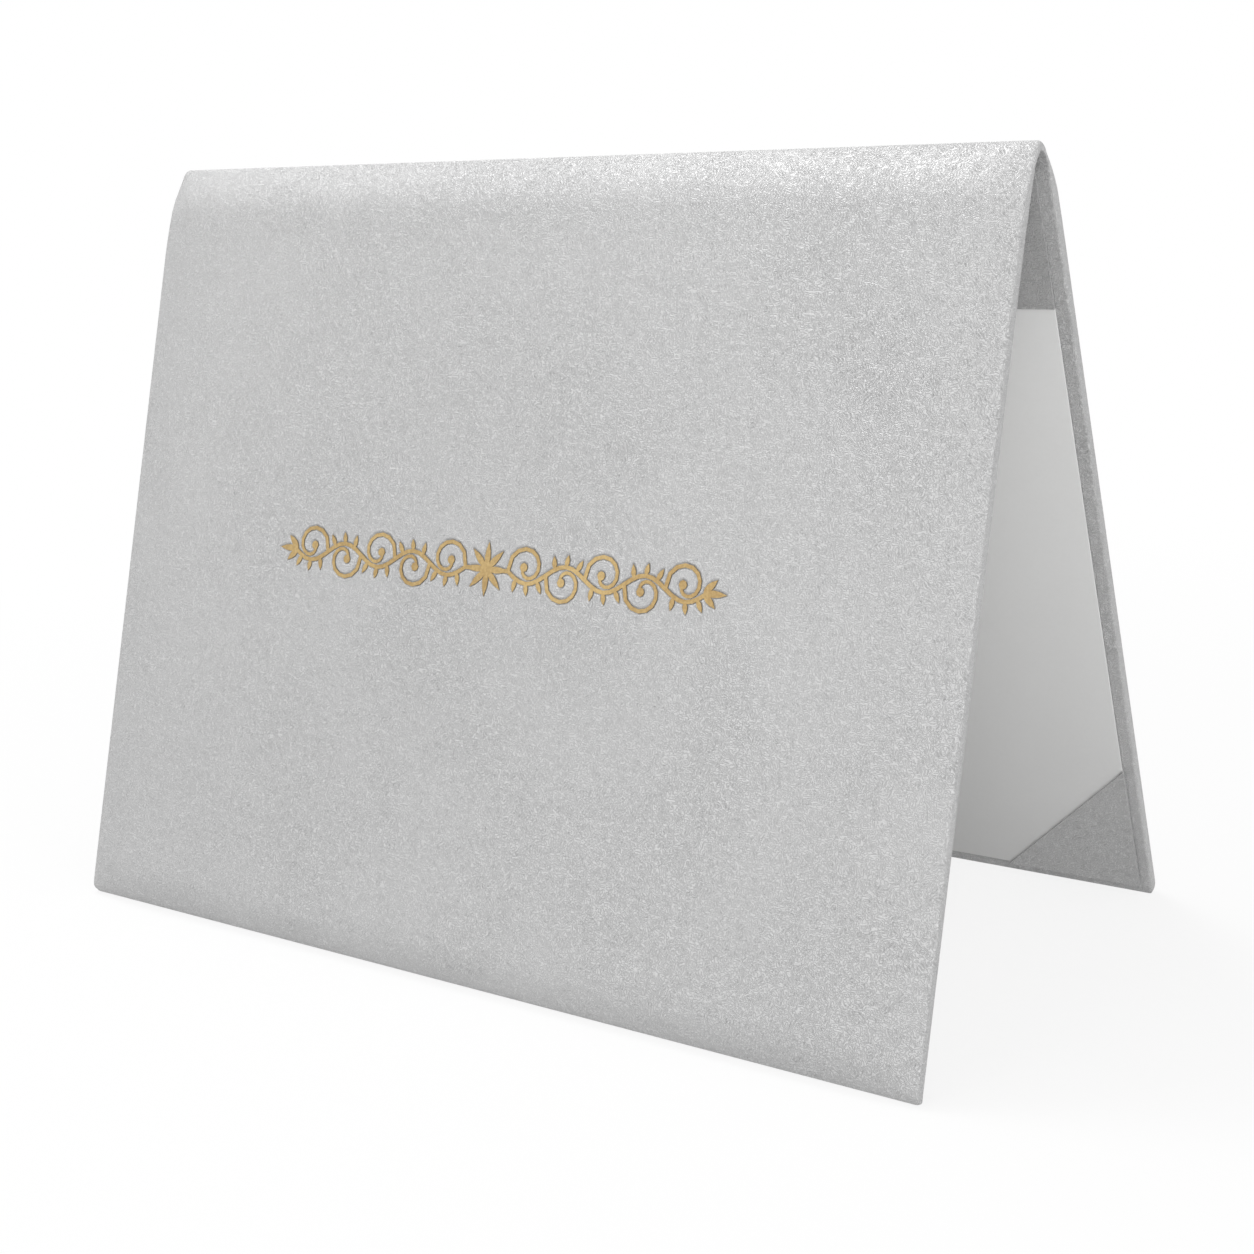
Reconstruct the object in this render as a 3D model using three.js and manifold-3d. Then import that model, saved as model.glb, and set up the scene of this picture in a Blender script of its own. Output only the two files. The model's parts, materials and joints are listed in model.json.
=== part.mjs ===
// Padded diploma cover, standing as a tent on its two lower edges.
// Millimetres, +Z up, +X along the spine, the stamped front cover faces -Y.
// The origin is the middle of the footprint, on the surface that it stands on.
import * as THREE from 'three';
import { mergeVertices } from 'three/addons/utils/BufferGeometryUtils.js';
import Module from 'manifold-3d';

const wasm = await Module();
wasm.setup();

// Overall sizes
const coverWidth = 292; // along the spine
const coverHeight = 228; // from the hinge line to the lower edge
const leanAngle = THREE.MathUtils.degToRad(17.7); // each cover, from upright

// Sheet and board thicknesses
const skin = 0.6; // leatherette
const boardThickness = 2;
const linerThickness = 0.8; // card faced with white paper
const ribbonThickness = 0.5; // hinge strip and corner holders
const foldBackThickness = 0.4; // tail of a corner holder, behind the liner
const layerGap = 0.25; // between sheets that lie on each other
const closedGap = 0.2; // from the hinge plane to the first sheet

// Padding
const crownRise = 2.4; // middle of the pad above its edge
const edgeSquash = 0.2; // how far the skin comes down at the edge of the board
const crownDepth = 13; // rounded band over the lower edge
const sideDepth = 7; // rounded band at the two ends
const shoulderDepth = 13; // rounded band below the spine
const shoulderSlope = THREE.MathUtils.degToRad(32);
const padInset = 3; // foam stops short of the board's edge

// Edges and corners
const foldRadius = 2.6; // outside of the spine fold
const wedgeGap = 0.15; // each cover stays this far on its own side of the spine
const innerRound = 0.8;
const cornerRadius = 2.5;
const turnIn = 15; // width of the leatherette glued to the inside

// Inside
const boardHead = 6.5; // from the hinge line to the boards
const linerHead = 5;
const linerSideMargin = 4.8;
const linerFootMargin = 3;
const stripReach = 43; // hinge strip, from the hinge line down each liner
const holderLeg = 40;

// Foil ornament, a scrolling vine across the middle of the front cover
const ornamentLength = 157;
const ornamentHeight = 15;
const ornamentCentre = 113; // below the hinge line
const foilThickness = 0.15;
const stampDepth = 0.4; // recess pressed into the leatherette
const foilGap = 0.15; // foil above the recess's floor
const stemWidth = 1.15;
const leafWidth = 2.2;
const budRadius = 1.25;
const rosetteRadius = 7.5;
const finialLength = 6;
const scrollsPerSide = 5;

// Stack of layers, outward from the hinge plane
const ribbonTop = closedGap + ribbonThickness;
const linerBase = ribbonTop + layerGap;
const linerTop = linerBase + linerThickness;
const foldBackTop = linerTop + layerGap + foldBackThickness;
const skinBase = foldBackTop + layerGap;
const boardBase = skinBase + skin + layerGap;
const boardTop = boardBase + boardThickness;
const faceEdge = boardTop + layerGap + skin; // outer face where the pad is pinched flat
const faceTop = faceEdge + crownRise;
const hingeHeight = coverHeight * Math.cos(leanAngle) - skinBase * Math.sin(leanAngle)
  + innerRound * (1 - Math.cos(leanAngle) - Math.sin(leanAngle));

// A cover is built hanging straight down from the hinge line: u runs down it, w outward.
const towardsX = new THREE.Vector3(1, 0, 0);
const towardsU = new THREE.Vector3(0, 0, -1);
const towardsW = new THREE.Vector3(0, -1, 0);

const materials = {
  leatherette: new THREE.MeshStandardMaterial({ color: 0xc3c5c6, roughness: 0.45, metalness: 0.1 }),
  foil: new THREE.MeshStandardMaterial({ color: 0xc8aa74, roughness: 0.35, metalness: 0.9 }),
  liner: new THREE.MeshStandardMaterial({ color: 0xf4f4f2, roughness: 0.7, metalness: 0 }),
  board: new THREE.MeshStandardMaterial({ color: 0x9a948a, roughness: 0.9, metalness: 0 }),
  foam: new THREE.MeshStandardMaterial({ color: 0xefeee8, roughness: 0.95, metalness: 0 }),
};

function toSolid(geometry) {
  geometry.deleteAttribute('normal');
  geometry.deleteAttribute('uv');
  const merged = mergeVertices(geometry, 1e-5);
  return new wasm.Manifold(new wasm.Mesh({
    numProp: 3,
    vertProperties: new Float32Array(merged.attributes.position.array),
    triVerts: new Uint32Array(merged.index.array),
  }));
}

function toGeometry(solid) {
  const mesh = solid.getMesh();
  const geometry = new THREE.BufferGeometry();
  geometry.setAttribute('position', new THREE.BufferAttribute(new Float32Array(mesh.vertProperties), 3));
  geometry.setIndex(new THREE.BufferAttribute(new Uint32Array(mesh.triVerts), 1));
  return geometry;
}

// A flat shape drawn along two directions is extruded along the third, from start.
function extruded(shape, first, second, depth, start, curveSegments = 8) {
  const geometry = new THREE.ExtrudeGeometry(shape, { depth, bevelEnabled: false, curveSegments });
  const third = new THREE.Vector3().crossVectors(first, second);
  geometry.applyMatrix4(new THREE.Matrix4().makeBasis(first, second, third));
  const origin = third.clone().multiplyScalar(start);
  geometry.translate(origin.x, origin.y, origin.z);
  return toSolid(geometry);
}

const alongX = (shape, length) => extruded(shape, towardsU, towardsW, length, -length / 2);
const alongU = (shape, from, to) => extruded(shape, towardsX, towardsW, to - from, from);
const alongW = (shape, low, high, curveSegments) => (
  extruded(shape, towardsX, towardsU, high - low, -high, curveSegments));

function rectangle(left, right, head, foot) {
  return new THREE.Shape([
    new THREE.Vector2(left, head),
    new THREE.Vector2(right, head),
    new THREE.Vector2(right, foot),
    new THREE.Vector2(left, foot),
  ]);
}

// A sheet seen face on, square at the head and with round lower corners.
function sheetOutline(halfWidth, head, foot, radius) {
  const shape = new THREE.Shape();
  shape.moveTo(-halfWidth, head);
  shape.lineTo(halfWidth, head);
  shape.lineTo(halfWidth, foot - radius);
  shape.absarc(halfWidth - radius, foot - radius, radius, 0, Math.PI / 2, false);
  shape.lineTo(-halfWidth + radius, foot);
  shape.absarc(-halfWidth + radius, foot - radius, radius, Math.PI / 2, Math.PI, false);
  return shape;
}

// The crowned outer line, from the lower edge up over the pad and down the shoulder.
function traceCrown(shape, inset) {
  const foot = coverHeight - inset;
  const edge = faceEdge - edgeSquash - inset;
  const top = faceTop - inset;
  const start = foldRadius + layerGap - inset;
  const pull = 0.4 * shoulderDepth;
  shape.lineTo(foot, edge);
  shape.bezierCurveTo(foot, edge + 0.6 * (top - edge), foot - crownDepth / 2, top, foot - crownDepth, top);
  shape.lineTo(shoulderDepth, top);
  shape.bezierCurveTo(shoulderDepth - pull, top,
    wedgeGap + pull * Math.cos(shoulderSlope), start + pull * Math.sin(shoulderSlope), wedgeGap, start);
}

// Section of the wrapped cover across the spine, shrunk by inset all round.
function coverSection(inset) {
  const foot = coverHeight - inset;
  const base = skinBase + inset;
  const round = Math.max(innerRound - inset, 0.1);
  const shape = new THREE.Shape();
  shape.moveTo(wedgeGap, Math.min(base, foldRadius + layerGap - inset));
  shape.lineTo(wedgeGap + inset * 4, base);
  shape.lineTo(foot - round, base);
  shape.absarc(foot - round, base + round, round, -Math.PI / 2, 0, false);
  traceCrown(shape, inset);
  return shape;
}

// Everything under the outer sheet, down past the hinge plane.
function belowCrown(inset, foot) {
  const shape = new THREE.Shape();
  shape.moveTo(-1, -1);
  shape.lineTo(coverHeight - inset, -1);
  traceCrown(shape, inset);
  shape.lineTo(-1, foldRadius + layerGap - inset);
  const below = alongX(shape, coverWidth - 2 * turnIn);
  return below.intersect(alongU(rectangle(-coverWidth, coverWidth, -2, faceTop + 1), -2, foot));
}

// Section along the spine: a gentle crown between the two ends.
function endSection(inset) {
  const half = coverWidth / 2 - inset;
  const base = skinBase + inset;
  const round = Math.max(innerRound - inset, 0.1);
  const edge = faceEdge - edgeSquash - inset;
  const top = faceTop - inset;
  const lift = edge + 0.7 * (top - edge);
  const shape = new THREE.Shape();
  shape.moveTo(-half + round, base);
  shape.lineTo(half - round, base);
  shape.absarc(half - round, base + round, round, -Math.PI / 2, 0, false);
  shape.lineTo(half, edge);
  shape.bezierCurveTo(half, lift, half - sideDepth / 2, top, half - sideDepth, top);
  shape.lineTo(-half + sideDepth, top);
  shape.bezierCurveTo(-half + sideDepth / 2, top, -half, lift, -half, edge);
  shape.lineTo(-half, base + round);
  shape.absarc(-half + round, base + round, round, Math.PI, Math.PI * 1.5, false);
  return shape;
}

// The solid that the wrapped cover fills, shrunk by inset.
function coverForm(inset) {
  const radius = Math.max(cornerRadius - inset, 0.5);
  const outline = sheetOutline(coverWidth / 2 - inset, -1, coverHeight - inset, radius);
  return alongX(coverSection(inset), coverWidth)
    .intersect(alongU(endSection(inset), -1, coverHeight + 1))
    .intersect(alongW(outline, -1, faceTop + 1));
}

// Leatherette drawn over pad and board, and turned in round three edges.
function makeSkin() {
  const window = belowCrown(skin, coverHeight - turnIn)
    .intersect(alongU(rectangle(-coverWidth, coverWidth, -2, faceTop - skin), -2, coverHeight));
  return coverForm(0).subtract(coverForm(skin)).subtract(window);
}

function spineCylinder(radius) {
  const circle = new THREE.Shape();
  circle.absarc(0, 0, radius, 0, 2 * Math.PI, false);
  return alongX(circle, coverWidth + 2);
}

// The half round of leatherette that goes over the spine, joined to the front cover.
function makeSpineFold() {
  const lap = 2 * skin; // along the shoulder, inside the sheet that it becomes
  const rise = lap * Math.tan(shoulderSlope);
  const fold = new THREE.Shape();
  fold.moveTo(wedgeGap, foldRadius + layerGap);
  fold.lineTo(wedgeGap, foldRadius - skin / 4);
  fold.absarc(0, 0, foldRadius, Math.PI / 2, Math.PI * 1.5, false);
  fold.absarc(0, 0, foldRadius - skin, Math.PI * 1.5, Math.PI / 2, true);
  fold.lineTo(wedgeGap + lap, foldRadius + layerGap + rise - skin);
  fold.lineTo(wedgeGap + lap, foldRadius + layerGap + rise - skin / 2);
  return alongX(fold, coverWidth);
}

// Foam sheet, crowned as the skin is, glued to the outside of the board.
function makeFoam() {
  const half = coverWidth / 2 - padInset;
  const outline = sheetOutline(half, boardHead, coverHeight - padInset, cornerRadius);
  return coverForm(skin + layerGap).intersect(alongW(outline, boardTop + layerGap, faceTop));
}

function makeBoard() {
  const inset = skin + layerGap;
  const outline = sheetOutline(coverWidth / 2 - inset, boardHead, coverHeight - inset, cornerRadius - inset);
  return alongW(outline, boardBase, boardTop);
}

function makeLiner() {
  const outline = sheetOutline(coverWidth / 2 - linerSideMargin, linerHead,
    coverHeight - linerFootMargin, 0.6);
  return alongW(outline, linerBase, linerTop);
}

// Hinge strip on one cover, from the spine down over the head of the liner.
function makeStrip(withCurl) {
  const start = foldRadius + layerGap;
  const section = new THREE.Shape();
  section.moveTo(stripReach, closedGap);
  section.lineTo(stripReach, ribbonTop);
  section.lineTo(start, ribbonTop);
  if (withCurl) {
    const outside = foldRadius - skin - layerGap;
    const inside = outside - ribbonThickness;
    section.bezierCurveTo(start / 2, ribbonTop, start / 2, outside, 0, outside);
    section.absarc(0, 0, outside, Math.PI / 2, Math.PI * 1.5, false);
    section.absarc(0, 0, inside, Math.PI * 1.5, Math.PI / 2, true);
    section.bezierCurveTo(start / 4, inside, start / 4, closedGap, start, closedGap);
  } else {
    section.lineTo(start, closedGap);
  }
  return alongX(section, coverWidth - 2 * linerSideMargin);
}

// A folded triangle that hugs one lower corner of the liner; hand is 1 on the +X side.
function makeHolder(hand) {
  const side = coverWidth / 2 - linerSideMargin;
  const foot = coverHeight - linerFootMargin;
  const triangle = (grow) => {
    const points = [
      new THREE.Vector2(hand * (side + grow), foot + grow),
      new THREE.Vector2(hand * (side - holderLeg), foot + grow),
      new THREE.Vector2(hand * (side + grow), foot - holderLeg),
    ];
    return new THREE.Shape(hand > 0 ? points : points.reverse());
  };
  const slot = rectangle(-side - layerGap, side + layerGap, 0, foot + layerGap);
  return alongW(triangle(layerGap + ribbonThickness), closedGap, foldBackTop)
    .subtract(alongW(slot, ribbonTop, linerTop + layerGap));
}

// A stroke of the ornament, drawn along a curve and tapering from one width to another.
function stroke(points, startWidth, endWidth, grow) {
  const curve = new THREE.SplineCurve(points);
  const steps = points.length - 1;
  const left = [];
  const right = [];
  for (let i = 0; i <= steps; i += 1) {
    const t = i / steps;
    const point = curve.getPoint(t);
    const tangent = curve.getTangent(t);
    const half = (startWidth + (endWidth - startWidth) * t) / 2 + grow;
    const across = new THREE.Vector2(-tangent.y, tangent.x).multiplyScalar(half);
    left.push(point.clone().add(across));
    right.push(point.clone().sub(across));
  }
  return new THREE.Shape([...right, ...left.reverse()]);
}

function disc(centre, radius) {
  const shape = new THREE.Shape();
  shape.absarc(centre.x, centre.y, radius, 0, 2 * Math.PI, false);
  return shape;
}

// A leaf with a round back and a sharp tip, grown from its root at an angle.
function leaf(root, length, width, angle, grow) {
  const along = new THREE.Vector2(Math.cos(angle), Math.sin(angle));
  const across = new THREE.Vector2(-along.y, along.x);
  const at = (far, side) => root.clone().addScaledVector(along, far).addScaledVector(across, side);
  const tip = at(length + 1.6 * grow, 0);
  const start = at(-grow, 0);
  const belly = 1.35 * (width / 2 + grow);
  const one = at(length * 0.35, belly);
  const other = at(length * 0.35, -belly);
  const shape = new THREE.Shape();
  shape.moveTo(start.x, start.y);
  shape.quadraticCurveTo(one.x, one.y, tip.x, tip.y);
  shape.quadraticCurveTo(other.x, other.y, start.x, start.y);
  return shape;
}

// One half of the vine: a waving stem, a scroll in each hollow and leaves on each crest.
function vineShapes(hand, grow) {
  const pitch = (ornamentLength / 2 - rosetteRadius - finialLength) / scrollsPerSide;
  const swing = 0.19 * ornamentHeight;
  const place = (x, y) => new THREE.Vector2(hand * x, y);
  const heading = (angle) => (hand > 0 ? angle : Math.PI - angle);
  const stem = [place(0, 0)];
  const stemSteps = 6;
  for (let i = 0; i <= stemSteps * scrollsPerSide; i += 1) {
    const wave = i / stemSteps;
    stem.push(place(rosetteRadius + pitch * wave, swing * Math.sin(Math.PI * wave)));
  }
  const shapes = [stroke(stem, stemWidth, stemWidth, grow)];
  for (let unit = 0; unit < scrollsPerSide; unit += 1) {
    const flip = unit % 2 === 0 ? 1 : -1;
    const head = rosetteRadius + pitch * unit;
    const centre = { x: head + pitch / 2, y: -flip * 0.09 * ornamentHeight };
    const reach = pitch / 2;
    const scroll = [place(head, 0)];
    const steps = 14;
    for (let i = 1; i <= steps; i += 1) {
      const t = i / steps;
      const radius = reach * (1 - 0.82 * t);
      const angle = Math.PI * (1 + 2.05 * t);
      scroll.push(place(centre.x + radius * Math.cos(angle), centre.y + flip * radius * Math.sin(angle)));
    }
    shapes.push(stroke(scroll, stemWidth, stemWidth * 0.75, grow));
    shapes.push(disc(scroll[steps], budRadius + grow));
    for (const along of [0.22, 0.5, 0.78]) {
      const root = place(head + pitch * along, flip * swing * Math.sin(Math.PI * along));
      const angle = flip * THREE.MathUtils.degToRad(115 - 70 * along);
      const length = ornamentHeight * (0.22 + 0.1 * Math.abs(along - 0.5));
      shapes.push(leaf(root, length, leafWidth, heading(angle), grow));
    }
  }
  const end = place(ornamentLength / 2 - finialLength - stemWidth, 0);
  for (const [angle, share] of [[0, 1], [0.75, 0.75], [-0.75, 0.75]]) {
    shapes.push(leaf(end, share * (finialLength + stemWidth), leafWidth * 1.3, heading(angle), grow));
  }
  return shapes;
}

// The whole ornament from low to high; grow widens every line for the pressed recess.
function makeOrnament(grow, low, high) {
  const shapes = [...vineShapes(1, grow), ...vineShapes(-1, grow), disc(new THREE.Vector2(), budRadius * 1.6 + grow)];
  const petals = 8;
  for (let i = 0; i < petals; i += 1) {
    const angle = (i * 2 * Math.PI) / petals;
    shapes.push(leaf(new THREE.Vector2(), rosetteRadius, leafWidth * 1.3, angle, grow));
  }
  const solids = shapes.map((shape) => alongW(shape, low, high, 4));
  return wasm.Manifold.union(solids).translate([0, 0, -ornamentCentre]);
}

function node(name, solid, material) {
  const mesh = new THREE.Mesh(toGeometry(solid), material);
  mesh.name = name;
  return mesh;
}

function makeFrontCover() {
  const cover = new THREE.Group();
  const recess = makeOrnament(layerGap, faceTop - stampDepth, faceTop + 1);
  const foilBase = faceTop - stampDepth + foilGap;
  cover.add(
    node('front_skin', makeSkin().add(makeSpineFold()).subtract(recess), materials.leatherette),
    node('front_foam', makeFoam(), materials.foam),
    node('front_board', makeBoard(), materials.board),
    node('front_liner', makeLiner(), materials.liner),
    node('front_hinge_strip', makeStrip(true), materials.leatherette),
    node('foil_ornament', makeOrnament(0, foilBase, foilBase + foilThickness), materials.foil),
  );
  cover.position.z = hingeHeight;
  cover.rotation.x = -leanAngle;
  return cover;
}

function makeBackCover() {
  const cover = new THREE.Group();
  const scoop = spineCylinder(foldRadius + layerGap);
  cover.add(
    node('back_skin', makeSkin().subtract(scoop), materials.leatherette),
    node('back_foam', makeFoam(), materials.foam),
    node('back_board', makeBoard(), materials.board),
    node('back_liner', makeLiner(), materials.liner),
    node('back_hinge_strip', makeStrip(false), materials.leatherette),
    node('corner_holder_left', makeHolder(1), materials.leatherette),
    node('corner_holder_right', makeHolder(-1), materials.leatherette),
  );
  cover.rotation.x = -leanAngle;
  const turned = new THREE.Group();
  turned.add(cover);
  turned.rotation.z = Math.PI;
  turned.position.z = hingeHeight;
  return turned;
}

const diplomaCover = new THREE.Group();
diplomaCover.add(makeFrontCover(), makeBackCover());

export default diplomaCover;
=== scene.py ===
# Padded diploma cover in silver leatherette, standing as a tent on a pale floor.
import json
import math

import bmesh
import bpy
import numpy as np
from mathutils import Matrix, Vector


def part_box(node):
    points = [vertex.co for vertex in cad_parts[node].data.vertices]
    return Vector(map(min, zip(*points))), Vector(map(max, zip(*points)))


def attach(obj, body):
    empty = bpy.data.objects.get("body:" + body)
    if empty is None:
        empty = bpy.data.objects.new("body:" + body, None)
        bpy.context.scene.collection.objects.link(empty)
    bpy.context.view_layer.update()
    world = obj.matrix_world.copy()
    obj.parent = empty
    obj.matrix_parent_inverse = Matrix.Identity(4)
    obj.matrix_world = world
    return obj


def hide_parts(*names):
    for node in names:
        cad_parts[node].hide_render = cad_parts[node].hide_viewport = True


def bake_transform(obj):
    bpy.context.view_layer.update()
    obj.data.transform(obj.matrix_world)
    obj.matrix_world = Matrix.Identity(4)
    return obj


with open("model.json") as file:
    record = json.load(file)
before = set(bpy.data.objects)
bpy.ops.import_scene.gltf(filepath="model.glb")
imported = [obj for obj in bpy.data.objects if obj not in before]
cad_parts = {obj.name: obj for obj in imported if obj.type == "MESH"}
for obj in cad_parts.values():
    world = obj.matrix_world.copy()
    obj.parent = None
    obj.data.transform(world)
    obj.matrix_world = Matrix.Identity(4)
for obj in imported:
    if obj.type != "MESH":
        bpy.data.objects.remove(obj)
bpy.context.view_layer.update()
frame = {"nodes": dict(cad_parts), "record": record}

mm = 0.001
hinge = frame["record"]["behaviour"]["joints"][0]
hingeHeight = hinge["pos_m"][2]
lean = -math.radians(hinge["range_deg"][0]) / 2  # the covers close through twice the lean
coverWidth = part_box("front_skin")[1][0] * 2
frontBody = "front_cover"
backBody = "back_cover"

# Everything is modelled flat on the bench, outer face up: x along the spine, -y down the
# cover from the hinge line, z outward from the hinge plane. standUp puts it in its place.
standAngle = math.pi / 2 - lean


def selectOnly(piece):
    bpy.ops.object.select_all(action="DESELECT")
    piece.select_set(True)
    bpy.context.view_layer.objects.active = piece


def applyPlace(piece):
    selectOnly(piece)
    bpy.ops.object.transform_apply(location=True, rotation=True, scale=True)


def standUp(piece, onBack=False):
    piece.rotation_euler = (standAngle, 0, math.pi if onBack else 0)
    piece.location = (0, 0, hingeHeight)
    applyPlace(piece)


def nameActive(name):
    piece = bpy.context.active_object
    piece.name = name
    piece.data.name = name
    return piece


def applyModifier(piece, kind, **settings):
    selectOnly(piece)
    modifier = piece.modifiers.new(kind.title(), kind)
    for key, value in settings.items():
        setattr(modifier, key, value)
    bpy.ops.object.modifier_apply(modifier=modifier.name)


def subdivideFaces(piece, chosen, cuts):
    # chosen picks the faces in object mode, by centre and normal.
    selectOnly(piece)
    for part in (piece.data.vertices, piece.data.edges, piece.data.polygons):
        part.foreach_set("select", [False] * len(part))
    for face in piece.data.polygons:
        face.select = bool(chosen(face))
    bpy.ops.object.mode_set(mode="EDIT")
    bpy.ops.mesh.select_mode(type="FACE")
    bpy.ops.mesh.subdivide(number_cuts=cuts)
    bpy.ops.object.mode_set(mode="OBJECT")


def selectEdges(piece, chosen):
    # Leaves the piece in edit mode with the chosen edges selected.
    selectOnly(piece)
    bpy.ops.object.mode_set(mode="EDIT")
    bpy.ops.mesh.select_all(action="DESELECT")
    bpy.ops.mesh.select_mode(type="EDGE")
    mesh = bmesh.from_edit_mesh(piece.data)
    for edge in mesh.edges:
        if chosen(edge):
            edge.select = True
    bmesh.update_edit_mesh(piece.data)


def extrudeInSteps(piece, steps, moved):
    # Extrudes what is selected once for each step; moved gives each new point its place.
    for step in steps:
        bpy.ops.mesh.extrude_region_move()
        mesh = bmesh.from_edit_mesh(piece.data)
        for v in mesh.verts:
            if v.select:
                v.co = moved(v.co, step)
        bmesh.update_edit_mesh(piece.data)
    bpy.ops.object.mode_set(mode="OBJECT")


def cleanNormals(piece):
    selectOnly(piece)
    bpy.ops.object.mode_set(mode="EDIT")
    bpy.ops.mesh.select_all(action="SELECT")
    bpy.ops.mesh.remove_doubles(threshold=1e-6)
    bpy.ops.mesh.normals_make_consistent(inside=False)
    bpy.ops.object.mode_set(mode="OBJECT")


def smooth(piece, degrees=50):
    selectOnly(piece)
    bpy.ops.object.shade_smooth_by_angle(angle=math.radians(degrees))


# Shader maths

class Signal:
    # One socket of a node tree; arithmetic on it adds the nodes.
    def __init__(self, tree, socket=None):
        self.tree = tree
        self.socket = socket

    def node(self, kind, settings=None, inputs=None, output=0):
        made = self.tree.nodes.new("ShaderNode" + kind)
        for key, value in (settings or {}).items():
            setattr(made, key, value)
        for key, value in (inputs or {}).items():
            if isinstance(value, Signal):
                self.tree.links.new(value.socket, made.inputs[key])
            else:
                made.inputs[key].default_value = value
        return Signal(self.tree, made.outputs[output])

    def math(self, operation, *values):
        return self.node("Math", {"operation": operation}, dict(enumerate(values)))

    def __add__(self, other):
        return self.math("ADD", self, other)

    def __radd__(self, other):
        return self.math("ADD", other, self)

    def __mul__(self, other):
        return self.math("MULTIPLY", self, other)

    def __rmul__(self, other):
        return self.math("MULTIPLY", other, self)

    def larger(self, other):
        return self.math("MAXIMUM", self, other)

    def between(self, low, high):
        ranged = {"Value": self, "From Min": low, "From Max": high}
        return self.node("MapRange", {"interpolation_type": "SMOOTHSTEP"}, ranged)

    def mixed(self, first, second):
        return self.node("Mix", {"data_type": "RGBA"}, {0: self, 6: first, 7: second}, output=2)

    def noise(self, place, scale, detail):
        return self.node("TexNoise", {}, {"Vector": place, "Scale": scale, "Detail": detail})

    def bumped(self, height, strength, distance):
        return self.node("Bump", {}, {"Height": height, "Strength": strength, "Distance": distance})

    def into(self, shader, name):
        self.tree.links.new(self.socket, shader.inputs[name])


def newMaterial(name, **values):
    material = bpy.data.materials.new(name)
    material.use_nodes = True
    shader = material.node_tree.nodes["Principled BSDF"]
    for key, value in values.items():
        shader.inputs[key].default_value = value
    return material, shader, Signal(material.node_tree)


leatherLook = {
    "pale": (0.69, 0.69, 0.69, 1),
    "deep": (0.45, 0.45, 0.452, 1),
    "metallic": 0.2,
    "wormBends": 930,  # bends of the grain to the metre
    "wormLines": 6.0,  # ridges for each step of the noise behind them
    "patchScale": 22,
    "leastGrain": 0.75,  # how much of the grain is left where it is faintest
    "pebbleScale": 1900,
    "pebbleShare": 0.2,
    "grainHeight": 0.00011,
    "cloudScale": 9,
    "cloudShare": 0.08,
    "grainShare": 0.8,
    "middleTone": 0.46,
    "leastRoughness": 0.38,
    "roughnessRange": 0.1,
}


def makeLeatherette():
    look = leatherLook
    material, shader, start = newMaterial("silverLeatherette", Metallic=look["metallic"])
    place = start.node("TexCoord", output="Object")
    bends = start.noise(place, look["wormBends"], 0.0)
    worms = start.math("SINE", bends * (look["wormLines"] * 2 * math.pi))
    patches = start.noise(place, look["patchScale"], 2.0).between(0.36, 0.66)
    pebbles = start.noise(place, look["pebbleScale"], 1.0)
    strength = patches * (1 - look["leastGrain"]) + look["leastGrain"]
    grain = worms * strength * 0.5
    height = grain + pebbles * look["pebbleShare"]
    start.bumped(height, 1.0, look["grainHeight"]).into(shader, "Normal")
    cloud = start.noise(place, look["cloudScale"], 3.0).between(0.3, 0.7)
    tone = cloud * look["cloudShare"] + grain * look["grainShare"] + look["middleTone"]
    tone.mixed(look["deep"], look["pale"]).into(shader, "Base Color")
    (look["leastRoughness"] + pebbles * look["roughnessRange"]).into(shader, "Roughness")
    return material


foilLook = {
    "deep": (0.40, 0.27, 0.12, 1),
    "pale": (0.62, 0.46, 0.22, 1),
    "metallic": 0.85,
    "fleckScale": 1400,
    "driftScale": 60,
    "fleckHeight": 0.00008,
    "leastRoughness": 0.28,
    "roughnessRange": 0.22,
}


def makeFoil():
    look = foilLook
    material, shader, start = newMaterial("goldFoil", Metallic=look["metallic"])
    place = start.node("TexCoord", output="Object")
    flecks = start.noise(place, look["fleckScale"], 3.0)
    drift = start.noise(place, look["driftScale"], 2.0)
    tone = flecks.between(0.35, 0.7) * 0.5 + drift.between(0.3, 0.7) * 0.5
    tone.mixed(look["deep"], look["pale"]).into(shader, "Base Color")
    (look["leastRoughness"] + flecks * look["roughnessRange"]).into(shader, "Roughness")
    start.bumped(flecks, 0.35, look["fleckHeight"]).into(shader, "Normal")
    return material


paperLook = {
    "deep": (0.90, 0.90, 0.89, 1),
    "pale": (0.97, 0.97, 0.965, 1),
    "fibreScale": 900,
    "cloudScale": 30,
    "fibreHeight": 0.00005,
    "leastRoughness": 0.58,
    "roughnessRange": 0.1,
}


def makeLinerPaper():
    look = paperLook
    material, shader, start = newMaterial("linerPaper")
    place = start.node("TexCoord", output="Object")
    fibre = start.noise(place, look["fibreScale"], 4.0)
    cloud = start.noise(place, look["cloudScale"], 2.0)
    tone = fibre * 0.5 + cloud * 0.5
    tone.mixed(look["deep"], look["pale"]).into(shader, "Base Color")
    start.bumped(fibre, 0.25, look["fibreHeight"]).into(shader, "Normal")
    (look["leastRoughness"] + fibre * look["roughnessRange"]).into(shader, "Roughness")
    return material


boardLook = {
    "deep": (0.26, 0.235, 0.2, 1),
    "pale": (0.38, 0.35, 0.3, 1),
    "chipScale": 700,
    "chipHeight": 0.0001,
    "roughness": 0.9,
}


def makeBoard():
    look = boardLook
    material, shader, start = newMaterial("chipboard", Roughness=look["roughness"])
    place = start.node("TexCoord", output="Object")
    chips = start.noise(place, look["chipScale"], 5.0)
    chips.between(0.3, 0.7).mixed(look["deep"], look["pale"]).into(shader, "Base Color")
    start.bumped(chips, 0.4, look["chipHeight"]).into(shader, "Normal")
    return material


foamLook = {
    "wall": (0.88, 0.87, 0.83, 1),
    "hollow": (0.72, 0.71, 0.66, 1),
    "cellScale": 1300,
    "cellHeight": 0.0002,
    "roughness": 0.95,
}


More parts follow.
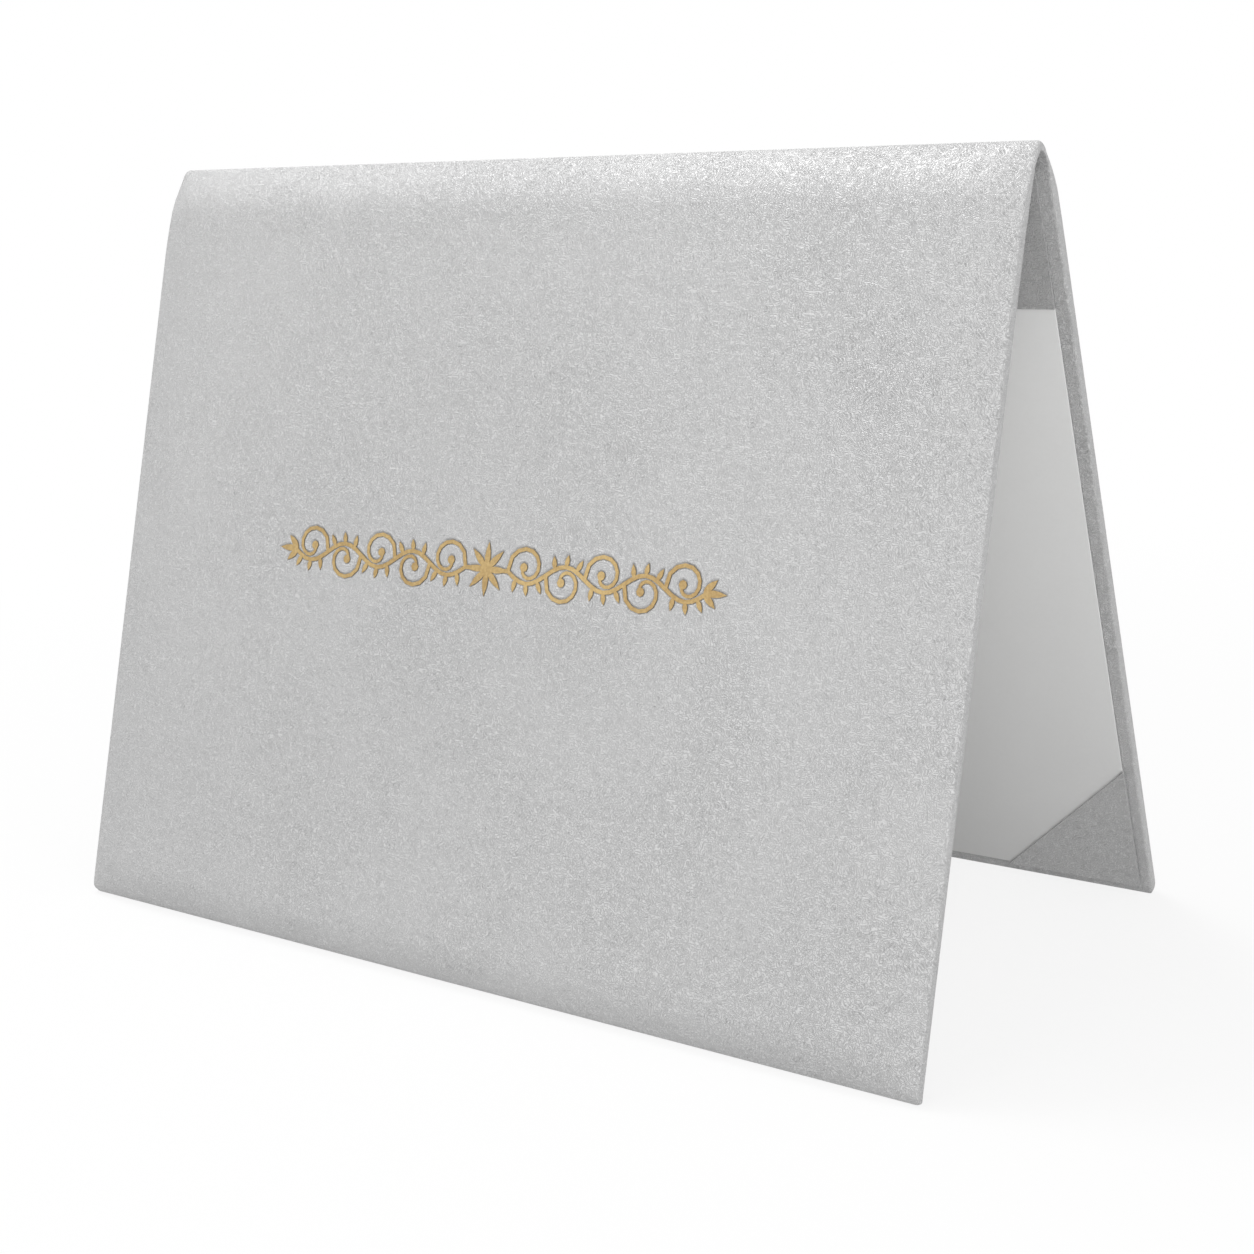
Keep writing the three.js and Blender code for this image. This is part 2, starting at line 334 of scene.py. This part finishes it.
def makeFoam():
    look = foamLook
    material, shader, start = newMaterial("paddingFoam", Roughness=look["roughness"])
    place = start.node("TexCoord", output="Object")
    cells = start.node("TexVoronoi", {}, {"Vector": place, "Scale": look["cellScale"]})
    cells.mixed(look["wall"], look["hollow"]).into(shader, "Base Color")
    start.bumped(cells, 0.5, look["cellHeight"]).into(shader, "Normal")
    return material


leatherette = makeLeatherette()
goldFoil = makeFoil()
linerPaper = makeLinerPaper()
chipboard = makeBoard()
paddingFoam = makeFoam()


def dress(piece, material):
    piece.data.materials.clear()
    piece.data.materials.append(material)


for slot in frame["nodes"]["foil_ornament"].material_slots:
    slot.material = goldFoil
print("materials made")

# The leatherette sheet: one piece over both covers and the spine, turned in round the edges

skinSheet = {
    "height": 228 * mm,
    "foldRadius": 2.6 * mm,
    "foldSteps": 7,
    "foldLeaves": math.radians(40),  # where the sheet leaves the round of the spine
    "leaveHandle": 5 * mm,
    "shoulder": 13.5 * mm,
    "shoulderHandle": 6.5 * mm,
    "shoulderSteps": 15,
    "top": 8.75 * mm,
    "edge": 6.15 * mm,
    "base": 2.8 * mm,
    "footDepth": 10.5 * mm,
    "footRadius": 14.5 * mm,
    "footRound": 0.5 * mm,
    "sideDepth": 24 * mm,
    "sideRound": 0.6 * mm,
    "corner": 1.3 * mm,
    "foldEndRound": 1.2 * mm,
    "roundEases": 6 * mm,  # below the hinge line, until the ends have their side round
    "endStarts": 4 * mm,  # above the hinge line, where the ends begin to widen
    "endWidens": 17 * mm,  # over this length the spine's end grows to the full edge
    "lipCloses": 0.12,  # how near the turned-in ends of the spine come to the hinge line
    "lipOpens": 4 * mm,
    "lipTurnIn": 2.0 * mm,
    "lipEnds": 1 * mm,
    "lipEases": 4 * mm,  # from the lip to the full turn-in
    # share of the way from the outer rim to the turned-in point, and the inset there
    "edgeSteps": [(0.4, 0), (0.76, 0), (0.87, 0.1 * mm), (0.95, 0.3 * mm), (1.0, 0.75 * mm)],
    "frontPinch": 0.2,
    "backPinch": 0.06,
    "pinchReach": 7 * mm,
    "pinchHead": 3 * mm,
    "pinchDepth": 22 * mm,
    "turnIn": 15 * mm,
    "thickness": 0.6 * mm,
    "cell": 4 * mm,
    "nearEdge": [0, 0.05, 0.14, 0.3, 0.6, 1.1, 1.9, 3.0, 4.6, 6.8, 9.8],  # millimetres
}


def bezier(points, count):
    t = np.linspace(0, 1, count)[:, None]
    a, b, c, d = (np.array(p) for p in points)
    return a * (1 - t) ** 3 + 3 * b * t * (1 - t) ** 2 + 3 * c * t * t * (1 - t) + d * t ** 3


def spreadFrom(edges, low, high, cell):
    # Places from low to high: close together near low, then about a cell apart.
    places = [low + e * mm for e in edges if low + e * mm < high]
    count = max(1, round((high - places[-1]) / cell))
    return places + list(np.linspace(places[-1], high, count + 1)[1:])


def smoothStep(value):
    t = min(max(value, 0), 1)
    return t * t * (3 - 2 * t)


def roundedOff(left, radius):
    # What a round edge takes off the height, at a distance left from the border.
    if left >= radius:
        return 0
    return radius - math.sqrt(radius ** 2 - (radius - left) ** 2)


def sectionRows(s):
    # (down, out) from the top of the spine to the lower edge of a cover
    rows = []
    for angle in np.linspace(standAngle, s["foldLeaves"], s["foldSteps"])[:-1]:
        rows.append((-s["foldRadius"] * math.sin(angle), s["foldRadius"] * math.cos(angle)))
    leave = s["foldLeaves"]
    start = np.array([-s["foldRadius"] * math.sin(leave), s["foldRadius"] * math.cos(leave)])
    heading = np.array([math.cos(leave), math.sin(leave)])
    end = np.array([s["shoulder"], s["top"]])
    handles = [start + s["leaveHandle"] * heading, end - np.array([s["shoulderHandle"], 0])]
    rows += [tuple(p) for p in bezier([start, *handles, end], s["shoulderSteps"])]
    fromFoot = spreadFrom(s["nearEdge"], 0, s["height"] - s["shoulder"], s["cell"])
    for down in sorted(s["height"] - left for left in fromFoot)[1:]:
        left = s["height"] - down
        past = max(s["footDepth"] - left, 0)
        out = s["top"] - s["footRadius"] + math.sqrt(s["footRadius"] ** 2 - past ** 2)
        rows.append((down, out - roundedOff(left, s["footRound"])))
    return rows


def roundCorner(x, down, s):
    # Squares near a lower corner become rings, so that the corner is round in plan.
    r = s["corner"]
    a = abs(x) - (coverWidth / 2 - r)
    b = down - (s["height"] - r)
    if a <= 0 or b <= 0:
        return x, down
    scale = max(a, b) / math.hypot(a, b)
    return math.copysign(coverWidth / 2 - r + a * scale, x), s["height"] - r + b * scale


def shapeOuter(x, down, out, s):
    inward = coverWidth / 2 - abs(x)
    share = min(inward / s["sideDepth"], 1)
    crown = 1 - (1 - share) ** 2
    widened = smoothStep((down + s["endStarts"]) / s["endWidens"])
    limit = s["foldRadius"] + (s["edge"] - s["foldRadius"]) * widened
    if out > limit:
        out = limit + (out - limit) * crown
    eased = smoothStep(down / s["roundEases"])
    taken = roundedOff(inward, s["foldEndRound"] + (s["sideRound"] - s["foldEndRound"]) * eased)
    if down > 0:
        out -= taken
    else:
        shrink = 1 - taken / math.hypot(down, out)
        down, out = down * shrink, out * shrink
    x, down = roundCorner(x, down, s)
    return Vector((x, -down, out))


def innerPartner(x, down, out, s):
    # The point inside the cover that the sheet is turned in to, straight behind an edge point.
    deep = min(max(down / s["lipOpens"], 0), 1)
    near = s["lipCloses"] * (1 - deep)
    return Vector((x, -(near * down + down * deep), near * out + s["base"] * deep))


def pinchEnds(skin, s):
    # Near its two ends the fold is pressed together, more on the front than on the back.
    sine, cosine = math.sin(lean), math.cos(lean)
    for v in skin.data.vertices:
        side = 1 if v.co.y > 0 else -1
        fall = hingeHeight - v.co.z
        down = cosine * fall + sine * v.co.y * side
        out = cosine * v.co.y * side - sine * fall
        along = 1 - smoothStep((coverWidth / 2 - abs(v.co.x)) / s["pinchReach"])
        below = 1 - smoothStep((down - s["pinchHead"]) / s["pinchDepth"])
        pinch = s["backPinch"] if side > 0 else s["frontPinch"]
        v.co.y -= side * pinch * along * below * min(abs(v.co.y), out * cosine)


def drawGrid(name, columns, rows):
    bpy.ops.mesh.primitive_grid_add(x_subdivisions=columns, y_subdivisions=rows, size=1)
    return nameActive(name)


def onSeam(v):
    # On the mirror plane, along the top of the spine.
    return abs(v.co.z * math.cos(lean) - v.co.y * math.sin(lean)) < 0.001 * mm


def makeSkinHalf(s):
    rows = sectionRows(s)
    columns = spreadFrom(s["nearEdge"], -coverWidth / 2, 0, s["cell"])
    columns = columns + [-c for c in reversed(columns[:-1])]
    half = drawGrid("leatherette_cover", len(columns) - 1, len(rows) - 1)
    for v in half.data.vertices:
        column = round((v.co.x + 0.5) * (len(columns) - 1))
        down, out = rows[round((0.5 - v.co.y) * (len(rows) - 1))]
        v.co = shapeOuter(columns[column], down, out, s)
    rims = {}

    def turnedIn(place, step):
        # Each point remembers the rim that it was drawn from.
        share, inset = step
        rim = rims.get(tuple(round(c, 6) for c in place), place.copy())
        moved = rim.lerp(innerPartner(rim.x, -rim.y, rim.z, s), share)
        deep = smoothStep((-rim.y - s["lipEnds"]) / s["lipEases"])
        short = min(inset, s["lipTurnIn"] + (s["turnIn"] - s["lipTurnIn"]) * deep)
        moved.x = max(min(moved.x, coverWidth / 2 - short), -coverWidth / 2 + short)
        moved.y = max(moved.y, -s["height"] + inset)
        rims[tuple(round(c, 6) for c in moved)] = rim
        return moved

    # The border, but not the seam along the spine, is drawn down the edge and turned in.
    selectEdges(half, lambda edge: edge.is_boundary and not all(onSeam(v) for v in edge.verts))
    extrudeInSteps(half, s["edgeSteps"] + [(1.0, s["turnIn"])], turnedIn)
    return half


def makeSkin():
    s = skinSheet
    skin = makeSkinHalf(s)
    standUp(skin)
    applyModifier(skin, "MIRROR", use_axis=(False, True, False), merge_threshold=0.02 * mm)
    cleanNormals(skin)
    pinchEnds(skin, s)
    applyModifier(skin, "SOLIDIFY", thickness=s["thickness"], offset=-1)
    return skin


skin = makeSkin()
print("leatherette sheet drawn,", len(skin.data.polygons), "faces")

# The recess that the foil is stamped into

stamp = {
    "cuts": 14,  # new lines across each cell under the ornament
    "margin": 0.10 * mm,  # flat floor beyond the foil's edge
    "rim": 0.42 * mm,  # slope from floor to face
    "depth": 0.42 * mm,
    "swell": 0.05 * mm,
    "swellAt": 1.3,  # in rims from the edge of the floor
    "swellWidth": 0.6,
    "around": 2 * mm,
    "faceBand": 0.2 * mm,  # how far below the face a point still belongs to it
    "foilBand": 0.02 * mm,
    "facesFront": 0.99,
}


def toBench(points):
    # World places on the front cover, back in flat bench coordinates.
    down = math.cos(lean) * (hingeHeight - points[:, 2]) - math.sin(lean) * points[:, 1]
    out = -math.cos(lean) * points[:, 1] - math.sin(lean) * (hingeHeight - points[:, 2])
    return np.stack([points[:, 0], down, out], 1)


def foilOutline():
    node = frame["nodes"]["foil_ornament"]
    mesh = node.data
    places = toBench(np.array([node.matrix_world @ v.co for v in mesh.vertices]))
    upper = places[:, 2].max() - stamp["foilBand"]
    edges = {}
    for face in mesh.polygons:
        if all(places[i, 2] > upper for i in face.vertices):
            corners = [tuple(np.round(places[i, :2], 7)) for i in face.vertices]
            for a, b in zip(corners, corners[1:] + corners[:1]):
                edges[frozenset((a, b))] = edges.get(frozenset((a, b)), []) + [(a, b)]
    return np.array([found[0] for found in edges.values() if len(found) == 1])


def distanceTo(outline, points):
    # Signed distance in the plane, negative inside the outline.
    distance = np.full(len(points), 1.0)
    inside = np.zeros(len(points), bool)
    for a, b in outline:
        along = b - a
        t = np.clip(((points - a) @ along) / (along @ along), 0, 1)
        distance = np.minimum(distance, np.linalg.norm(points - a - t[:, None] * along, axis=1))
        crosses = (a[1] > points[:, 1]) != (b[1] > points[:, 1])
        if a[1] != b[1]:
            reach = a[0] + (points[:, 1] - a[1]) * along[0] / along[1]
            inside ^= crosses & (points[:, 0] < reach)
    return np.where(inside, -distance, distance)


def pressStamp(skin):
    s = stamp
    outline = foilOutline()
    low = outline.reshape(-1, 2).min(0) - s["around"]
    high = outline.reshape(-1, 2).max(0) + s["around"]
    face = skinSheet["top"] - s["faceBand"]
    outward = Vector((0, -math.cos(lean), math.sin(lean)))

    def inBox(points, reach):
        plane = points[:, :2]
        return np.all((plane > low - reach) & (plane < high + reach), axis=1) & (points[:, 2] > face)

    def under(polygon):
        place = toBench(np.array([polygon.center]))
        return polygon.normal.dot(outward) >= s["facesFront"] and inBox(place, skinSheet["cell"] / 2)[0]

    subdivideFaces(skin, under, s["cuts"])
    bench = toBench(np.array([v.co for v in skin.data.vertices]))
    near = np.where(inBox(bench, 0))[0]
    away = distanceTo(outline, bench[near, :2])
    share = np.clip((away - s["margin"]) / s["rim"], 0, 1)
    slope = share * share * (3 - 2 * share)
    fromSwell = (away - s["margin"] - s["swellAt"] * s["rim"]) / (s["swellWidth"] * s["rim"])
    offset = -s["depth"] * (1 - slope) + s["swell"] * np.exp(-fromSwell ** 2)
    for index, move in zip(near, offset):
        skin.data.vertices[index].co += outward * float(move)


pressStamp(skin)
smooth(skin, 60)
dress(skin, leatherette)
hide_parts("front_skin", "back_skin")
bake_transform(skin)
print("ornament stamped,", len(skin.data.vertices), "vertices in the skin")

# The hinge strip, glued inside over the spine and the heads of both liners

hingeStrip = {
    "reach": 41.5 * mm,
    "sideMargin": 3.2 * mm,
    "out": 1.2 * mm,
    "thickness": 0.45 * mm,
    "turnRadius": 1.65 * mm,
    "cell": 6 * mm,
    "flatRows": 9,
    "bendStarts": 5 * mm,
    "bendHandles": (3 * mm, 1.5 * mm),
    "bendRows": 8,
    "turnRows": 7,
}


def makeHingeStrip():
    s = hingeStrip
    halfWidth = coverWidth / 2 - s["sideMargin"]
    flat = s["reach"] - s["bendStarts"]
    path = [(s["reach"] - t * flat, s["out"]) for t in np.linspace(0, 1, s["flatRows"])]
    turn = s["turnRadius"] - s["thickness"]
    first, second = s["bendHandles"]
    bend = [(s["bendStarts"], s["out"]), (first, s["out"]), (second, turn), (0, turn)]
    path += [tuple(p) for p in bezier(bend, s["bendRows"])[1:]]
    turned = np.linspace(0, standAngle, s["turnRows"])[1:]
    path += [(-turn * math.sin(a), turn * math.cos(a)) for a in turned]
    strip = drawGrid("hinge_strip", round(2 * halfWidth / s["cell"]), len(path) - 1)
    for v in strip.data.vertices:
        down, out = path[round((v.co.y + 0.5) * (len(path) - 1))]
        v.co = Vector((v.co.x * 2 * halfWidth, -down, out))
    standUp(strip)
    applyModifier(strip, "MIRROR", use_axis=(False, True, False), merge_threshold=0.05 * mm)
    cleanNormals(strip)
    # The strip's outside faces the covers, and its thickness grows that way.
    lowest = min(strip.data.polygons, key=lambda face: face.center.z)
    outward = Vector((0, math.copysign(1, lowest.center.y), 0))
    if lowest.normal.dot(outward) < 0:
        strip.data.flip_normals()
    applyModifier(strip, "SOLIDIFY", thickness=s["thickness"], offset=1)
    smooth(strip, 40)
    dress(strip, leatherette)
    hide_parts("front_hinge_strip", "back_hinge_strip")
    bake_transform(strip)


makeHingeStrip()
print("hinge strip folded")

# Inside the skin: a board and a foam pad in each cover

filling = {
    "head": 9 * mm,
    "margin": 1.6 * mm,
    "footMargin": 3.6 * mm,
    "cut": 9 * mm,  # the head corners are cut off where the fold is pinched
    "boardOut": 3.55 * mm,
    "boardThickness": 2 * mm,
    "padOut": 5.7 * mm,
    "padBelowSkin": 0.85 * mm,
    "padHead": 16 * mm,
    "padMargin": 4 * mm,
    "padCells": (60, 48),
}


def makeSlab(name, width, head, foot, base, thickness):
    bpy.ops.mesh.primitive_cube_add(size=1)
    slab = nameActive(name)
    slab.scale = (width, foot - head, thickness)
    slab.location = (0, -(head + foot) / 2, base + thickness / 2)
    applyPlace(slab)
    return slab


def makeBoardPiece(name, node, body):
    s = filling
    board = makeSlab(name, coverWidth - 2 * s["margin"], s["head"], skinSheet["height"] - s["footMargin"],
                     s["boardOut"], s["boardThickness"])

    def atHeadCorner(edge):
        rise = abs(edge.verts[0].co.z - edge.verts[1].co.z)
        return rise > mm and all(-v.co.y < s["head"] + mm for v in edge.verts)

    selectEdges(board, atHeadCorner)
    bpy.ops.mesh.bevel(offset=s["cut"], segments=1)
    bpy.ops.object.mode_set(mode="OBJECT")
    standUp(board, onBack=body == backBody)
    dress(board, chipboard)
    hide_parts(node)
    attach(board, body)


def makePad(name, node, body):
    s = filling
    pad = drawGrid(name, *s["padCells"])
    width = coverWidth - 2 * s["padMargin"]
    length = skinSheet["height"] - s["padMargin"] - s["padHead"]
    for v in pad.data.vertices:
        v.co = Vector((v.co.x * width, -s["padHead"] - (0.5 - v.co.y) * length, s["padOut"]))
    rows = np.array(sectionRows(skinSheet))

    def underSkin(place, step):
        out = float(np.interp(-place.y, rows[:, 0], rows[:, 1]))
        top = shapeOuter(place.x, -place.y, out, skinSheet).z - s["padBelowSkin"]
        return Vector((place.x, place.y, top))

    selectOnly(pad)
    bpy.ops.object.mode_set(mode="EDIT")
    bpy.ops.mesh.select_all(action="SELECT")
    extrudeInSteps(pad, [0], underSkin)
    cleanNormals(pad)
    standUp(pad, onBack=body == backBody)
    smooth(pad, 40)
    dress(pad, paddingFoam)
    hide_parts(node)
    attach(pad, body)


for side, body in (("front", frontBody), ("back", backBody)):
    makeBoardPiece(side + "_stiffener", side + "_board", body)
    makePad(side + "_pad", side + "_foam", body)
print("boards and pads filled in")

# The liners: white cards inside both covers

linerCard = {
    "head": 5 * mm,
    "foot": 224.2 * mm,
    "sideMargin": 3.5 * mm,
    "out": 1.75 * mm,
    "thickness": 0.6 * mm,
    "softEdge": 0.12 * mm,
}


def makeLiner(name, node, body):
    s = linerCard
    card = makeSlab(name, coverWidth - 2 * s["sideMargin"], s["head"], s["foot"], s["out"], s["thickness"])
    applyModifier(card, "BEVEL", width=s["softEdge"], segments=2)
    standUp(card, onBack=body == backBody)
    smooth(card, 40)
    dress(card, linerPaper)
    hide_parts(node)
    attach(card, body)


makeLiner("front_lining", "front_liner", frontBody)
makeLiner("back_lining", "back_liner", backBody)
print("liners laid in")

# Corner holders: triangles of leatherette folded round the lower corners of the back liner

holder = {
    "leg": 41 * mm,
    "out": 1.2 * mm,
    "behind": 2.4 * mm,
    "grow": 0.45 * mm,  # past the liner's edge, to the outside of the fold
    "thickness": 0.4 * mm,
    "rises": (0.2 * mm, 0.6 * mm, 1.0 * mm),  # up round the edge of the liner
    "turnInset": 0.2 * mm,
    "tail": 12 * mm,  # the part glued behind the liner
    "cells": 16,
    "flat": 54.1 * mm,
    "area": 0.00177,
}


def makeHolder(name, node, hand):
    s = holder
    side = coverWidth / 2 - linerCard["sideMargin"] + s["grow"]
    foot = linerCard["foot"] + s["grow"]
    piece = drawGrid(name, s["cells"], s["cells"])
    for v in piece.data.vertices:
        a = v.co.x + 0.5
        b = (v.co.y + 0.5) * (1 - a)
        v.co = Vector((hand * (side - a * s["leg"]), -(foot - b * s["leg"]), s["out"]))
    cleanNormals(piece)

    def onFold(edge):
        onSide = all(abs(abs(v.co.x) - side) < 0.01 * mm for v in edge.verts)
        onFoot = all(abs(-v.co.y - foot) < 0.01 * mm for v in edge.verts)
        return edge.is_boundary and (onSide or onFoot)

    def wrapped(place, step):
        inset, rise = step
        across = min(abs(place.x), side - inset)
        down = min(-place.y, foot - inset)
        return Vector((hand * across, -down, s["out"] + rise))

    back = s["behind"] - s["out"]
    steps = [(0, rise) for rise in s["rises"]] + [(s["turnInset"], back), (s["tail"], back)]
    selectEdges(piece, onFold)
    extrudeInSteps(piece, steps, wrapped)
    cleanNormals(piece)
    face = min(piece.data.polygons, key=lambda f: f.center.z)
    if face.normal.z > 0:
        piece.data.flip_normals()
    applyModifier(piece, "SOLIDIFY", thickness=s["thickness"], offset=-1)
    standUp(piece, onBack=True)
    smooth(piece, 40)
    dress(piece, leatherette)
    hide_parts(node)
    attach(piece, backBody)


makeHolder("corner_fold_left", "corner_holder_left", 1)
makeHolder("corner_fold_right", "corner_holder_right", -1)
print("corner holders folded")

# Floor, light and camera

studio = {
    "floorSize": 6.0,
    "shadowTone": 0.9,
    "leastGlow": 0.84,  # of the white that the camera sees, near the object
    "glowFrom": 0.15,
    "glowTo": 0.55,
    "floorTone": 0.55,
    "skyTone": 0.62,
    "focal": 59.07,
    "yaw": math.radians(36.29),
    "pitch": math.radians(15.08),
    "roll": math.radians(-3.67),
    "place": (356.1 * mm, -464.1 * mm, 240.5 * mm),
}
atMiddle = (0, 0, 0.12)
lamps = [  # name, place, target, size and watts
    ("keySoftbox", (-0.45, -0.40, 1.15), atMiddle, (1.2, 0.9), 2.7),
    ("sideSoftbox", (0.78, -0.95, 0.55), atMiddle, (0.7, 0.7), 1.6),
    ("topSoftbox", (-0.24, 0.06, 0.95), (0.05, 0, 0.2), (0.25, 0.25), 2.6),
    ("frontSoftbox", (-0.3, -1.25, 0.75), atMiddle, (0.7, 0.7), 1.7),
    ("rimStrip", (1.15, -0.50, 0.20), (0.1, 0, 0.12), (0.12, 0.6), 3.0),
]


def seenAsWhite(start):
    # Camera, glossy and transmission rays see the white background.
    camera = start.node("LightPath", output="Is Camera Ray")
    glossy = start.node("LightPath", output="Is Glossy Ray")
    through = start.node("LightPath", output="Is Transmission Ray")
    return camera.larger(glossy.larger(through))


def makeFloor():
    bpy.ops.mesh.primitive_plane_add(size=studio["floorSize"], location=(0, 0, 0))
    floor = nameActive("floor")
    material = bpy.data.materials.new("paleFloor")
    material.use_nodes = True
    tree = material.node_tree
    tree.nodes.clear()
    start = Signal(tree)
    tone = studio["floorTone"]
    plain = start.node("BsdfDiffuse", {}, {"Color": (tone, tone, tone, 1)})
    shadow = studio["shadowTone"]
    pale = start.node("BsdfDiffuse", {}, {"Color": (shadow, shadow, shadow, 1)})
    glow = start.node("Emission", {}, {"Color": (1, 1, 1, 1), "Strength": 1.0})
    place = start.node("TexCoord", output="Object")
    away = start.node("VectorMath", {"operation": "LENGTH"}, {0: place}, output=1)
    least = studio["leastGlow"]
    share = away.between(studio["glowFrom"], studio["glowTo"]) * (1 - least) + least
    washed = start.node("MixShader", {}, {0: share, 1: pale, 2: glow})
    surface = start.node("MixShader", {}, {0: seenAsWhite(start), 1: plain, 2: washed})
    surface.into(tree.nodes.new("ShaderNodeOutputMaterial"), "Surface")
    dress(floor, material)


def makeSky():
    world = bpy.data.worlds.new("studioSky")
    bpy.context.scene.world = world
    world.use_nodes = True
    tree = world.node_tree
    tree.nodes.clear()
    start = Signal(tree)
    tone = studio["skyTone"]
    shade = seenAsWhite(start).mixed((tone, tone, tone, 1), (1, 1, 1, 1))
    surface = start.node("Background", {}, {"Color": shade, "Strength": 1.0})
    surface.into(tree.nodes.new("ShaderNodeOutputWorld"), "Surface")


def makeLamp(name, place, target, size, watts):
    lampData = bpy.data.lights.new(name, "AREA")
    lampData.shape = "RECTANGLE"
    lampData.size, lampData.size_y = size
    lampData.energy = watts
    lamp = bpy.data.objects.new(name, lampData)
    bpy.context.scene.collection.objects.link(lamp)
    lamp.location = place
    lamp.rotation_euler = (Vector(target) - Vector(place)).to_track_quat("-Z", "Y").to_euler()


def makeCamera():
    yaw, pitch, roll = studio["yaw"], studio["pitch"], studio["roll"]
    ahead = Vector((-math.sin(yaw) * math.cos(pitch), math.cos(yaw) * math.cos(pitch), -math.sin(pitch)))
    right = ahead.cross(Vector((0, 0, 1))).normalized()
    up = right.cross(ahead)
    rolledRight = math.cos(roll) * right + math.sin(roll) * up
    rolledUp = -math.sin(roll) * right + math.cos(roll) * up
    cameraData = bpy.data.cameras.new("camera")
    cameraData.sensor_width = 36
    cameraData.lens = studio["focal"]
    cameraData.clip_start = 0.01
    camera = bpy.data.objects.new("camera", cameraData)
    bpy.context.scene.collection.objects.link(camera)
    turn = Matrix((rolledRight, rolledUp, -ahead)).transposed()
    camera.matrix_world = Matrix.Translation(studio["place"]) @ turn.to_4x4()
    bpy.context.scene.camera = camera


makeFloor()
makeSky()
for lamp in lamps:
    makeLamp(*lamp)
makeCamera()
bpy.context.scene.view_settings.view_transform = "Standard"
print("studio ready")
